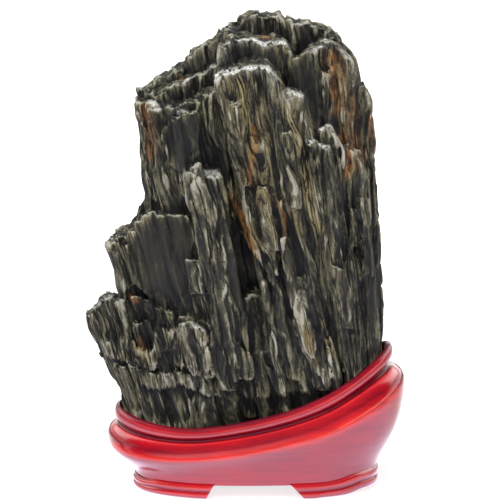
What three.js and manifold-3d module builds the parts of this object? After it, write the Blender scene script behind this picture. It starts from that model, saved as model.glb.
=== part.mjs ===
// A standing viewing stone, a fibrous black schist that broke into long upright splinters,
// resting in the carved socket of a red lacquered wooden stand with four feet.
// Millimetres, +Z up, +X to the right as seen from the front, -Y towards the viewer.
// The origin is on the surface the stand rests on, under the middle of the whole piece.
import * as THREE from "three";
import { mergeVertices } from "three/addons/utils/BufferGeometryUtils.js";
import Module from "manifold-3d";

const wasm = await Module();
wasm.setup();

// Driving dimensions of the stand.
const STAND_LEFT = 90; // reach of the shoulder's edge from the origin, to the left
const STAND_RIGHT = 97; // to the right
const STAND_HALF_DEPTH = 48; // to the front and to the back
const STAND_UNDERSIDE = 7.5; // height of the body's underside above the surface
const SOCKET_FLOOR = 20; // height of the socket's floor, on which the stone rests
const FOOT_HEIGHT = 11; // height of a foot's upper lip
const FOOT_DEPTH = 22; // how far a foot runs in under the body
const GAP = 0.3; // clearance between pieces that touch
const PLAN_POWER = 2.3; // 2 is an ellipse, more is squarer
const STAND_STEPS = 44; // facets round the stand

// Driving dimensions of the stone.
const SPLINTER_WIDTH = 9.5; // usual width of one splinter
const SPLINTER_RING = 80; // spacing of the bends along a splinter
const STAGGER = 3.6; // how unevenly the splinters of one plate stand forward
const CHIP = 4; // how unevenly they are broken off at the top
const SPLINTER_SIDES = 6;
const CREST = 2.6; // how far a splinter's crest stands proud of its edges
const OVERLAP = 1.3; // neighbouring splinters run into each other by this factor
const TOP_RISE = 0.35; // a broken top climbs this much for each millimetre towards the back
const FLAKE_PROUD = 2.6; // how far a flake left on a plate's face stands out from it
const FLAKE_ROOT = 7; // how far it is rooted in the plate

// Heights along the stand, as [x, z]: both tiers sag at the front left and sweep up to the right.
const SHOULDER_LINE = [[-90, 32], [-60, 28.5], [-30, 27.5], [0, 31], [50, 41], [75, 51], [97, 62]];
const COLLAR_LINE = [[-83, 51], [-65, 46], [-46, 43.5], [0, 49], [31, 57.5], [56, 69], [86, 88]];

// The stand's section from the middle of its underside, out, up, over both tiers and down into the socket.
// left, front and right say how far in from the shoulder's edge a point lies on that side.
// rise is 0 at the underside, 1 at the shoulder's edge and 2 at the collar's top; z is a plain height.
const STAND_SECTION = [
  { left: 23.5, front: 13.4, right: 19.5, z: STAND_UNDERSIDE },
  { left: 22, front: 12.2, right: 17.8, rise: 0.05 },
  { left: 18, front: 9.8, right: 13.6, rise: 0.2 },
  { left: 12, front: 6.6, right: 8.6, rise: 0.38 },
  { left: 6.6, front: 3.8, right: 4.6, rise: 0.57 },
  { left: 2.6, front: 1.5, right: 1.8, rise: 0.76 },
  { left: 0, front: 0, right: 0, rise: 0.95 },
  { left: 0.6, front: 0.7, right: 0.8, rise: 1.08 },
  { left: 2.2, front: 3, right: 3.4, rise: 1.2 },
  { left: 3.4, front: 4.8, right: 5.6, rise: 1.34 },
  { left: 4.4, front: 6, right: 7.4, rise: 1.48 },
  { left: 5.3, front: 7, right: 8.8, rise: 1.46 },
  { left: 6.4, front: 8.2, right: 10.6, rise: 1.38 },
  { left: 5.4, front: 7, right: 9.4, rise: 1.58 },
  { left: 4.7, front: 6, right: 8.6, rise: 1.74 },
  { left: 5.2, front: 6.5, right: 9.1, rise: 1.92 },
  { left: 6.8, front: 8.2, right: 10.8, rise: 2 },
  { left: 8.4, front: 9.8, right: 12.4, rise: 1.96 },
  { left: 9.4, front: 10.9, right: 13.4, rise: 1.8 },
  { left: 10.8, front: 12, right: 15, rise: 1.3 },
  { left: 15, front: 16, right: 20, z: SOCKET_FLOOR },
];

const SHOULDER_ROW = 6;
const COLLAR_TOP_ROW = 16;

// A foot's outer face from the surface up: how far out from the body's lower edge it stands, at each height.
const FOOT_FACE = [[4.8, 0], [6.8, 2.4], [5.6, 5], [7.2, 8], [6, FOOT_HEIGHT]];
// Each foot runs along the plan between two bearings, counted in degrees from the right, towards the front.
// Its end next to the middle is cut slanting, so that it is shorter at the surface than at the lip.
const FEET = [
  { name: "foot_front_right", end: 8, middle: 75.5, back: false },
  { name: "foot_front_left", end: 168, middle: 103, back: false },
  { name: "foot_back_right", end: 8, middle: 75.5, back: true },
  { name: "foot_back_left", end: 168, middle: 103, back: true },
];
const FOOT_SLANT = 4.5; // degrees of plan lost at the surface on the slanting end

// The stone's plates, each a row of upright splinters. top is the line of broken ends, as [x, z], left to right.
// face and back are the y of the two faces, foot is where the splinters end below, and lean is how far
// they drift to the right for each millimetre down. A plate that ends above the socket hangs over the next.
// flakes is the number of short flakes still attached to the plate's face, or to its back at the rear.
const BASE = 2;
const PLATES = [
  { name: "peak", top: [[-19, 276], [-14, 282], [-6, 283], [-2, 289], [8, 292], [16, 289], [24, 284]],
    face: 8, back: 32, lean: 0.12, foot: BASE, rise: 0.1 },
  { name: "crown", top: [[24, 266], [34, 268], [43, 275], [52, 274], [59, 262]],
    face: -13, back: 24, lean: 0.06, foot: BASE, rise: 0.15, flakes: 2 },
  { name: "crown ridge", top: [[24, 284], [37, 285], [49, 282], [56, 276], [61, 267]],
    face: 6, back: 28, lean: 0.05, foot: 150, rise: 0.1 },
  { name: "right wall", top: [[59, 264], [66, 252], [71, 243], [75, 228], [77, 207], [78, 182]],
    face: -8, back: 18, lean: 0.03, foot: BASE, rise: 0.1 },
  { name: "right rib", top: [[50, 196], [58, 214], [66, 206], [72, 190]],
    face: -19, back: 4, lean: 0.06, foot: BASE, flakes: 2 },
  { name: "second tier", top: [[-20, 266], [-12, 277], [2, 276], [8, 274], [22, 275], [30, 264], [38, 246]],
    face: -8, back: 12, lean: 0.12, foot: BASE, flakes: 3 },
  { name: "main", top: [[-20, 250], [-16, 257], [0, 260], [10, 260], [16, 251]],
    face: -28, back: 0, lean: 0.2, foot: 66, flakes: 4 },
  { name: "main root", top: [[-8, 120], [20, 120], [44, 120]],
    face: -22, back: 0, lean: 0.2, foot: BASE, flakes: 2 },
  { name: "pale", top: [[17, 245], [25, 247], [34, 243]],
    face: -23, back: 0, lean: 0.2, foot: 72 },
  { name: "notch back", top: [[34, 244], [42, 242], [50, 228]],
    face: -11, back: 6, lean: 0.08, foot: BASE },
  { name: "notch right", top: [[41, 224], [48, 226], [55, 212]],
    face: -21, back: 0, lean: 0.12, foot: 70 },
  { name: "notch low", top: [[33, 219], [40, 216], [48, 214]],
    face: -27, back: 0, lean: 0.17, foot: 64, flakes: 1 },
  { name: "left crest", top: [[-68, 244], [-61, 248], [-52, 254], [-43, 261], [-35, 268], [-27, 274], [-18, 280]],
    face: 8, back: 28, lean: 0.14, foot: BASE, rise: 0.1 },
  { name: "left terrace", top: [[-64, 243], [-54, 247], [-45, 250], [-36, 256], [-27, 258], [-17, 266]],
    face: -3, back: 16, lean: 0.13, foot: 120, rise: 0.2 },
  { name: "left front", top: [[-61, 238], [-48, 236], [-38, 241], [-29, 244], [-20, 247]],
    face: -15, back: 10, lean: 0.15, foot: BASE, flakes: 3 },
  { name: "left strip", top: [[-69, 240], [-63, 241], [-57, 239]],
    face: -10, back: 14, lean: 0.09, foot: 130, rise: 0.1 },
  { name: "left dark", top: [[-49, 230], [-42, 235], [-32, 236]],
    face: -20, back: 0, lean: 0.16, foot: 178 },
  { name: "light ridge", top: [[-38, 195], [-31, 200], [-24, 199], [-19, 197]],
    face: -31, back: -6, lean: 0.17, foot: 66 },
  { name: "second step", top: [[-88, 153], [-82, 156], [-75, 159], [-68, 166], [-60, 171], [-49, 173], [-38, 172]],
    face: -20, back: 20, lean: 0.24, foot: BASE, rise: 0.05, flakes: 3 },
  { name: "second step edge", top: [[-86, 149], [-80, 152], [-73, 152]],
    face: -24, back: 6, lean: 0.27, foot: 96, rise: 0.05 },
  { name: "third step", top: [[-102, 107], [-96, 110], [-88, 114], [-79, 118], [-69, 119], [-59, 117], [-46, 112]],
    face: -25, back: 18, lean: 0.38, foot: BASE, rise: 0.05, flakes: 3 },
  { name: "lower flake left", top: [[-72, 102], [-64, 108], [-56, 100]],
    face: -31, back: -8, lean: 0.36, foot: 72 },
  { name: "lower flake middle", top: [[-45, 104], [-36, 106], [-27, 103], [-22, 92]],
    face: -31, back: -8, lean: 0.32, foot: 68 },
  { name: "fringe left", top: [[-84, 78], [-70, 76], [-50, 74], [-30, 74]],
    face: -31, back: 0, lean: 0.34, foot: BASE },
  { name: "low tongue", top: [[24, 128], [32, 140], [40, 130]],
    face: -32, back: -10, lean: 0.24, foot: 68 },
  { name: "back slab", top: [[-44, 238], [-30, 250], [-8, 262], [10, 256], [24, 244]],
    face: 0, back: 38, lean: 0.1, foot: BASE, flakes: 4 },
  { name: "back left", top: [[-74, 160], [-62, 186], [-46, 204], [-34, 196]],
    face: 0, back: 33, lean: 0.16, foot: BASE, rise: -0.2, flakes: 3 },
  { name: "back right", top: [[22, 226], [40, 232], [56, 216], [66, 190]],
    face: 0, back: 34, lean: 0.04, foot: BASE, flakes: 3 },
  { name: "back low", top: [[-92, 84], [-76, 102], [-60, 108], [-46, 104]],
    face: 0, back: 28, lean: 0.34, foot: BASE, rise: -0.1 },
  { name: "back rib", top: [[-22, 168], [-8, 182], [6, 172]],
    face: 10, back: 42, lean: 0.12, foot: 64 },
];
const PLAN_NARROWING = 0.5; // the stone's depth at its far left and right ends, against 1 in the middle

const RED_LACQUER = new THREE.MeshStandardMaterial({ color: 0x8f0f17, roughness: 0.2, metalness: 0 });
const DARK_SCHIST = new THREE.MeshStandardMaterial({ color: 0x3a3a33, roughness: 0.75, metalness: 0 });

// A number from 0 to 1 at each call, the same run of numbers each time for one seed.
function randomFrom(seed) {
  let state = seed;
  return () => {
    state = (state * 1664525 + 1013904223) % 4294967296;
    return state / 4294967296;
  };
}

// The height at x of a line of [x, z] points, level beyond its two ends.
function heightAlong(line, x) {
  if (x <= line[0][0]) return line[0][1];
  for (let i = 1; i < line.length; i++) {
    const [x0, z0] = line[i - 1];
    const [x1, z1] = line[i];
    if (x <= x1) return THREE.MathUtils.mapLinear(x, x0, x1, z0, z1);
  }
  return line[line.length - 1][1];
}

// The same through a smooth curve, for the stand's swept tiers.
function smoothLine(line) {
  const curve = new THREE.SplineCurve(line.map(([x, z]) => new THREE.Vector2(x, z)));
  return curve.getPoints(80).map((p) => [p.x, p.y]);
}

// Bare three.js geometry with its shared vertices merged, ready to be bent or joined.
function bare(geometry) {
  const copy = geometry.clone();
  for (const name of Object.keys(copy.attributes)) {
    if (name !== "position") copy.deleteAttribute(name);
  }
  return mergeVertices(copy, 1e-4);
}

// Moves every vertex of a geometry by a function of its place.
function bend(geometry, place) {
  const position = geometry.getAttribute("position");
  const point = new THREE.Vector3();
  for (let i = 0; i < position.count; i++) {
    point.fromBufferAttribute(position, i);
    position.setXYZ(i, ...place(point));
  }
  return geometry;
}

function solidFrom(geometry) {
  const mesh = new wasm.Mesh({
    numProp: 3,
    vertProperties: new Float32Array(geometry.getAttribute("position").array),
    triVerts: new Uint32Array(geometry.index.array),
  });
  return new wasm.Manifold(mesh);
}

function geometryFrom(solid) {
  const mesh = solid.getMesh();
  return new THREE.BufferGeometry()
    .setAttribute("position", new THREE.BufferAttribute(mesh.vertProperties, 3))
    .setIndex(new THREE.BufferAttribute(mesh.triVerts, 1));
}

// The point of the stand's plan at a bearing, a number of millimetres in from the shoulder's edge.
function planPoint(bearing, { left, front, right }) {
  const across = Math.cos(bearing);
  const deep = Math.sin(bearing);
  const side = across < 0 ? left : right;
  const inset = THREE.MathUtils.lerp(front, side, Math.abs(across) ** 1.5);
  const reach = (across < 0 ? STAND_LEFT : STAND_RIGHT) - inset;
  const squared = (value) => Math.sign(value) * Math.abs(value) ** (2 / PLAN_POWER);
  return [reach * squared(across), (STAND_HALF_DEPTH - inset) * squared(deep)];
}

const shoulderLine = smoothLine(SHOULDER_LINE);
const collarLine = smoothLine(COLLAR_LINE);

function standHeight(row, x) {
  if (row.z !== undefined) return row.z;
  const shoulder = heightAlong(shoulderLine, x);
  if (row.rise <= 1) return THREE.MathUtils.lerp(STAND_UNDERSIDE, shoulder, row.rise);
  return THREE.MathUtils.lerp(shoulder, heightAlong(collarLine, x), row.rise - 1);
}

// A section of the stand from the middle below to the middle above, turned, and its rings bent to the oval
// plan and to the two swept tiers.
function turnedStand(rows, lowMiddle, highMiddle) {
  const rings = rows.map((row, i) => new THREE.Vector2(rows.length + 1, i + 1));
  const section = [new THREE.Vector2(0, 0), ...rings, new THREE.Vector2(0, rows.length + 1)];
  return bend(bare(new THREE.LatheGeometry(section, STAND_STEPS)), ({ x, y, z }) => {
    const ring = Math.round(y) - 1;
    if (ring < 0) return [0, 0, lowMiddle];
    if (ring >= rows.length) return [0, 0, highMiddle];
    const [planX, planY] = planPoint(Math.atan2(-z, x), rows[ring]);
    return [planX, planY, standHeight(rows[ring], planX)];
  });
}

// A row of the section moved outwards by a number of millimetres, or inwards if it is negative.
function movedOut(row, out) {
  return { ...row, left: row.left - out, front: row.front - out, right: row.right - out };
}

// The room that the feet keep clear of: the body's underside and lower wall, a gap larger.
function lowerWallRoom() {
  const wall = STAND_SECTION.slice(0, SHOULDER_ROW + 1).map((row) => movedOut(row, GAP * 1.4));
  wall[0].z -= GAP;
  return solidFrom(turnedStand(wall, wall[0].z, STAND_SECTION[SHOULDER_ROW].rise + 30));
}

// The room that the stone keeps clear of: the socket's wall and floor a gap tighter, and all that lies
// outside the collar and below its top.
function socketRoom() {
  const far = { left: -40, front: -40, right: -40 };
  const wall = STAND_SECTION.slice(COLLAR_TOP_ROW + 1).map((row) => movedOut(row, -GAP * 1.4));
  wall[wall.length - 1].z += GAP;
  const outside = [{ ...far, z: -1 }, { ...far, rise: 2.02 }, { ...STAND_SECTION[COLLAR_TOP_ROW], rise: 2.02 }];
  return solidFrom(turnedStand([...outside, ...wall], -1, SOCKET_FLOOR + GAP));
}

// One foot: a block bent along the plan, moulded on its outer face, with the body's shape cut out of it.
function foot({ end, middle, back }) {
  const steps = 7;
  const levels = FOOT_FACE.length - 1;
  const block = bare(new THREE.BoxGeometry(1, 1, 1, steps, 1, levels));
  const edge = STAND_SECTION[0];
  bend(block, ({ x, y, z }) => {
    const [outFromEdge, height] = FOOT_FACE[Math.round((z + 0.5) * levels)];
    const shortening = FOOT_SLANT * (1 - height / FOOT_HEIGHT) * Math.sign(end - middle);
    const bearing = THREE.MathUtils.lerp(end, middle + shortening, x + 0.5);
    const out = y < 0 ? outFromEdge : outFromEdge - FOOT_DEPTH;
    const inset = { left: edge.left - out, front: edge.front - out, right: edge.right - out };
    const [planX, planY] = planPoint(-THREE.MathUtils.degToRad(bearing), inset);
    return [planX, back ? -planY : planY, height];
  });
  const turnedOver = (end < middle) !== back;
  if (turnedOver) block.index.array.reverse();
  return geometryFrom(solidFrom(block).subtract(lowerWallRoom()));
}

// The stone's depth at x against its depth in the middle, so that its plan is rounded at both ends.
function planDepth(x) {
  return THREE.MathUtils.lerp(1, PLAN_NARROWING, THREE.MathUtils.smoothstep(Math.abs(x), 48, 105));
}

// One splinter of the stone: a long six-sided prism with a crest on each face, a few gentle bends, a width
// that changes along it, and a broken top that follows the plate's line of ends and climbs towards the back.
function splinter({ face, back, lean, foot: low, rise = TOP_RISE, top: ends }, x, width, random) {
  const top = heightAlong(ends, x);
  const chip = (random() - 0.5) * CHIP;
  const rings = Math.max(1, Math.round((top - low) / SPLINTER_RING));
  const prism = bare(new THREE.CylinderGeometry(1, 1, 1, SPLINTER_SIDES, rings));
  const ringValues = (least, most) => {
    return Array.from({ length: rings + 1 }, () => THREE.MathUtils.lerp(least, most, random()));
  };
  const sway = ringValues(-1.1, 1.1);
  const swell = ringValues(-1.4, 1.4);
  const spread = ringValues(0.85, 1.15);
  const crestSide = (random() - 0.5) * 0.6;
  const crestHeight = CREST * (0.5 + random());
  const lowEnd = low === BASE ? low : low + (random() - 0.5) * 14;
  const depth = planDepth(x);
  const middleY = ((face + back) / 2) * depth;
  return bend(prism, (corner) => {
    const ring = Math.round((corner.y + 0.5) * rings);
    const z = THREE.MathUtils.lerp(lowEnd, top, corner.y + 0.5);
    const half = (width / 2) * OVERLAP * spread[ring];
    const onCrest = Math.abs(corner.z) > 0.9;
    const across = onCrest ? crestSide : corner.x;
    const faceY = face * depth + swell[ring] + (onCrest ? 0 : crestHeight);
    const backY = back * depth + swell[ring] - (onCrest ? 0 : crestHeight);
    const isCentre = Math.abs(corner.x) < 0.01 && Math.abs(corner.z) < 0.01;
    const y = isCentre ? middleY : corner.z > 0 ? faceY : backY;
    const brokenTop = heightAlong(ends, x + across * half) - top + chip + (y - face * depth) * rise;
    return [x + lean * (top - z) + sway[ring] + across * half, y, ring === rings ? z + brokenTop : z];
  });
}

// All the splinters of one plate, side by side along its line of broken ends, some narrow and some broad.
function plateSplinters(plate, random) {
  const left = plate.top[0][0];
  const right = plate.top[plate.top.length - 1][0];
  const count = Math.max(2, Math.round((right - left) / SPLINTER_WIDTH));
  const shares = Array.from({ length: count }, () => 0.5 + random());
  const total = shares.reduce((sum, share) => sum + share, 0);
  let edge = left;
  return shares.map((share) => {
    const width = ((right - left) * share) / total;
    const x = edge + width / 2;
    edge += width;
    return splinter({ ...plate, face: plate.face + (random() - 0.5) * STAGGER }, x, width, random);
  });
}

// The short flakes that stand proud of a plate, each part of the way down one of its splinters.
function plateFlakes(plate, random) {
  const left = plate.top[0][0];
  const right = plate.top[plate.top.length - 1][0];
  const isRear = plate.face >= 0;
  return Array.from({ length: plate.flakes ?? 0 }, (_, i) => {
    const start = THREE.MathUtils.lerp(left, right, (i + 0.2 + 0.6 * random()) / plate.flakes);
    const plateTop = heightAlong(plate.top, start);
    const top = THREE.MathUtils.lerp(plateTop - 14, plate.foot + 75, random());
    const x = start + plate.lean * (plateTop - top);
    const proud = FLAKE_PROUD * (0.7 + 0.6 * random());
    const depth = planDepth(start) / planDepth(x);
    const face = isRear ? plate.back * depth - FLAKE_ROOT : plate.face * depth - proud;
    const back = isRear ? plate.back * depth + proud : plate.face * depth + FLAKE_ROOT;
    const foot = top - 22 - 34 * random();
    return splinter({ face, back, lean: plate.lean, foot, top: [[x, top]] }, x, 5 + 6 * random(), random);
  });
}

// The largest closed surface of a solid alone, so that gaps sealed in between the splinters are filled.
function outerSkin(solid) {
  return solid.decompose().reduce((largest, part) => (part.volume() > largest.volume() ? part : largest));
}

// The stone: every splinter of every plate grown into one solid, seated in the socket.
function stone() {
  const random = randomFrom(11);
  const splinters = PLATES.flatMap((plate) => [
    ...plateSplinters(plate, random),
    ...plateFlakes(plate, random),
  ]);
  const grown = wasm.Manifold.union(splinters.map((geometry) => solidFrom(geometry)));
  return geometryFrom(outerSkin(grown.subtract(socketRoom())));
}

function named(name, geometry, material) {
  const mesh = new THREE.Mesh(geometry, material);
  mesh.name = name;
  return mesh;
}

const suiseki = new THREE.Group();
suiseki.add(named("stone", stone(), DARK_SCHIST));
suiseki.add(named("stand_body", turnedStand(STAND_SECTION, STAND_UNDERSIDE, SOCKET_FLOOR), RED_LACQUER));
for (const place of FEET) suiseki.add(named(place.name, foot(place), RED_LACQUER));

// The origin goes under the middle of the whole piece.
const bounds = new THREE.Box3().setFromObject(suiseki);
suiseki.position.x = -(bounds.min.x + bounds.max.x) / 2;
suiseki.position.y = -(bounds.min.y + bounds.max.y) / 2;

export default suiseki;
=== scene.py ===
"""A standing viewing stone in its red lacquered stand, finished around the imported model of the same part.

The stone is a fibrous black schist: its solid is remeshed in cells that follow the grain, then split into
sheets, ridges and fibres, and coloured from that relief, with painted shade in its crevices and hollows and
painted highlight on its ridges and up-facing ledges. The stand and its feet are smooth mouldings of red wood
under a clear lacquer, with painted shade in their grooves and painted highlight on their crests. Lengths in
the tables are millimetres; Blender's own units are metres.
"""

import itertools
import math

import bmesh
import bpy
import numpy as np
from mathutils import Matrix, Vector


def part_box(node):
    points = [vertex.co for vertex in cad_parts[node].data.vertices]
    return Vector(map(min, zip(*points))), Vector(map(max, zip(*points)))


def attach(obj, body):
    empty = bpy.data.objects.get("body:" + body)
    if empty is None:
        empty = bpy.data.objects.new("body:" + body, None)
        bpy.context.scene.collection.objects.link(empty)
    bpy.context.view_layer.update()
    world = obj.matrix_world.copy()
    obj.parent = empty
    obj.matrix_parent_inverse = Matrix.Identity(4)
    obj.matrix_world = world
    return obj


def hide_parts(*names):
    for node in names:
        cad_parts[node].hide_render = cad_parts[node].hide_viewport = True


bl_info = {
    "name": "Viewing Stone in a Lacquered Stand",
    "version": (1, 0, 0),
    "blender": (4, 5, 0),
    "location": "View3D > Sidebar > Viewing Stone",
    "description": "Builds a fibrous viewing stone, its carved red stand and a plain white studio",
    "category": "Add Mesh",
}

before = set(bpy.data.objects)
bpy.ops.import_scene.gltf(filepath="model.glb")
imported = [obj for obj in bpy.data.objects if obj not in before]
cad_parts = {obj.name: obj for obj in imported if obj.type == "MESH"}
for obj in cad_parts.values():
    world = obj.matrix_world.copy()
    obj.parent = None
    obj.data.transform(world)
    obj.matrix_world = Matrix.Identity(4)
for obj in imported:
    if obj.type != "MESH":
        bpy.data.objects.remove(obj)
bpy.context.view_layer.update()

MM = 0.001

# The stand's plan: how far the shoulder's edge reaches from the plan's centre, in millimetres. The moulded
# underside lies a little above the solid's.
STAND_LOW, STAND_HIGH = (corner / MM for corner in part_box("stand_body"))
LEFT_SHARE = 90 / 187
STAND_LEFT = (STAND_HIGH.x - STAND_LOW.x) * LEFT_SHARE
STAND_RIGHT = (STAND_HIGH.x - STAND_LOW.x) - STAND_LEFT
STAND_HALF_DEPTH = (STAND_HIGH.y - STAND_LOW.y) / 2
UNDERSIDE_RAISED = 0.6
STAND_UNDERSIDE = STAND_LOW.z + UNDERSIDE_RAISED
PLAN_CENTRE = Vector((STAND_LOW.x + STAND_LEFT, (STAND_LOW.y + STAND_HIGH.y) / 2, 0))
PLAN_POWER = 2.3
FOOT_POWER = 3.1
SOCKET_FLOOR = 20

# Heights along the stand from the plan's centre, as (x, z): both tiers sag at the front left and sweep up.
SHOULDER_LINE = ((-90, 29.5), (-75, 26), (-60, 25.2), (-40, 25.7), (-15, 28.6), (0, 31), (25, 36.6),
                 (50, 43.6), (64, 50.4), (87, 61.5), (97, 66))
COLLAR_LINE = ((-83, 51), (-65, 46), (-46, 43.5), (0, 49), (31, 57.5), (56, 69), (75, 81.5), (88, 91))

# The stand's section from the middle of its underside out, up and down into the socket: how far in from the
# shoulder's edge each point lies at the left, front and right, and its height, which is 0 at the underside,
# 1 at the shoulder's edge and 2 at the collar's top. The last value is painted shade: how dark the lacquer is
# painted in the grooves, the coves, the socket and next to the stone. Where it is negative, it is how much
# painted highlight lies on the crests.
STAND_SECTION = (
    (18.4, 6.2, 18.2, 0.00, 0.3),
    (18.2, 6.1, 18.0, 0.015, 0.0),
    (17.9, 6.0, 17.6, 0.08, 0.0),
    (17.2, 5.9, 16.2, 0.18, 0.0),
    (15.6, 5.6, 12.8, 0.30, 0.0),
    (12.8, 5.2, 8.6, 0.42, 0.0),
    (9.2, 4.5, 5.0, 0.54, 0.0),
    (5.8, 3.5, 2.6, 0.66, 0.0),
    (3.2, 2.3, 1.4, 0.76, 0.0),
    (1.9, 1.2, 0.6, 0.84, -0.2),
    (1.2, 0.3, 0.2, 0.90, -0.7),
    (0.8, 0.0, 0.0, 0.97, -0.9),
    (0.7, 0.6, 0.0, 1.03, -0.5),
    (0.4, 2.3, 0.2, 1.10, 0.1),
    (0.2, 4.0, 0.8, 1.18, 0.55),
    (1.0, 5.1, 2.2, 1.29, 0.35),
    (2.4, 5.8, 4.6, 1.38, 0.1),
    (4.2, 6.3, 6.8, 1.44, -0.4),
    (5.4, 7.0, 8.6, 1.475, 0.2),
    (6.8, 8.3, 10.8, 1.47, 0.7),
    (7.1, 8.7, 11.4, 1.53, 0.8),
    (6.0, 7.7, 9.8, 1.60, 0.6),
    (5.0, 6.6, 8.2, 1.655, 0.2),
    (4.6, 6.1, 7.6, 1.71, 0.0),
    (4.7, 6.2, 7.7, 1.78, 0.0),
    (5.0, 6.5, 8.0, 1.85, 0.1),
    (5.6, 7.2, 8.7, 1.91, 0.65),
    (6.5, 8.1, 9.7, 1.95, 0.9),
    (7.5, 9.0, 10.8, 1.98, 1.0),
    (8.2, 9.7, 11.6, 1.99, 1.0),
    (8.7, 10.2, 12.2, 1.95, 1.0),
    (9.4, 10.9, 13.0, 1.80, 1.0),
    (10.8, 12.0, 15.0, 1.40, 1.0),
)
SOCKET_INSETS = (15, 16, 20)
STAND_STEPS = 96

FOOT_DEPTH = 22
FOOT_GAP = 0.3
# A foot's outer face from the floor up: how far out from the body's lower edge, its share of the foot's
# height, and its painted shade, or its painted highlight on the rolls where negative.
FOOT_FACE = (
    (0.5, 0.00, 0.4), (1.4, 0.04, 0.0), (2.2, 0.15, -0.3), (2.4, 0.28, -0.5), (2.1, 0.40, 0.0),
    (1.5, 0.48, 0.5), (1.5, 0.53, 0.5), (2.1, 0.60, 0.0), (2.4, 0.72, -0.6), (2.1, 0.85, -0.3),
    (1.3, 0.95, 0.0), (0.2, 1.00, 0.3),
)
FOOT_STEPS = 40
# Each foot runs between two bearings of the plan, in degrees from the right, the second next to the middle.
# Then come the side it lies on, its height, the share of its length over which its lip rises towards its
# outer end and how far it does, and how much shorter it is at the floor than at its lip.
FEET = {
    "foot_front_right": (5, 82.6, -1, 9.6, 0.85, 4.2, 9.0),
    "foot_front_left": (171, 97.0, -1, 9.4, 0.60, -1.4, 5.0),
    "foot_back_right": (5, 82.6, 1, 9.6, 0.85, 4.2, 9.0),
    "foot_back_left": (171, 97.0, 1, 9.4, 0.60, -1.4, 5.0),
}
# How much of its lip's rise a foot's sole shares at its outer end.
SOLE_SHARE = 0.5

# The stone's grain: a fibre that crosses GRAIN_LEVEL at the first number drifts to the right by the second
# for each millimetre down.
GRAIN_LEVEL = 260
GRAIN_LEAN = ((-158, 0.37), (-113, 0.27), (-68, 0.16), (-20, 0.17), (20, 0.17), (60, 0.065), (85, 0.03))
GRAIN_SQUEEZE = 0.4

# Places on the stone's front are given as pixels of a 500 x 500 front view, right and down from its corner.
VIEW_SIZE = 500
SENSOR_WIDTH = 36

# Where iron has stained the front: points along a streak, its width in pixels and its strength.
RUST_STREAKS = {
    "main plate": (((252, 128), (256, 140), (254, 152), (249, 171), (250, 184)), 3.4, 0.9),
    "block": (((231, 196), (238, 208), (244, 222), (251, 240), (256, 255)), 4.2, 0.9),
    "block, right edge": (((276, 200), (284, 216), (284, 238)), 3.2, 0.55),
    "crown, upper": (((330, 54), (334, 72), (333, 87), (337, 104), (336, 113)), 4.6, 0.85),
    "crown, all over": (((332, 58), (342, 90), (350, 125), (356, 160)), 14.0, 0.22),
    "crown, right": (((352, 98), (357, 117)), 3.0, 0.45),
    "crown, lower": (((342, 137), (351, 144), (350, 165), (346, 174)), 5.0, 0.75),
    "right edge, upper": (((370, 116), (373, 139), (376, 150)), 3.6, 0.75),
    "right edge, lower": (((380, 200), (381, 226)), 2.2, 0.4),
    "left strip": (((144, 106), (149, 122), (151, 140), (150, 156)), 7.0, 0.42),
    "left strip, line": (((152, 112), (154, 134)), 2.2, 0.7),
    "tongue": (((308, 335), (314, 352)), 3.4, 0.5),
    "third step": (((131, 297), (137, 301)), 3.0, 0.7),
    "cavity": (((140, 340), (147, 356)), 3.0, 0.4),
}
GOLD_STREAKS = {
    "main plate, top": (((240, 79), (243, 100), (249, 121), (254, 138)), 7.0, 0.8),
    "main plate, middle": (((252, 140), (250, 165), (250, 184), (256, 200)), 7.0, 0.65),
    "main plate, all over": (((238, 85), (252, 130), (270, 185), (290, 235)), 24, 0.28),
    "block": (((228, 190), (238, 214), (250, 236), (256, 254)), 10.0, 0.65),
    "block, middle": (((262, 190), (272, 212), (276, 240)), 7.0, 0.4),
    "right of the block": (((303, 164), (308, 188), (311, 208), (319, 230)), 7.0, 0.8),
    "pale block": (((287, 110), (296, 136), (302, 160)), 8.0, 0.5),
    "crown": (((322, 52), (330, 70), (340, 96)), 9.0, 0.45),
    "crown, lower": (((345, 130), (353, 150), (350, 172)), 7.0, 0.4),
    "tongue": (((300, 318), (308, 342), (315, 362)), 5.0, 0.45),
    "low right": (((322, 318), (328, 338), (330, 350)), 4.0, 0.6),
    "cavity": (((134, 340), (141, 352), (148, 362)), 4.0, 0.7),
    "second step edge": (((140, 262), (146, 280)), 3.0, 0.3),
}
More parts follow.
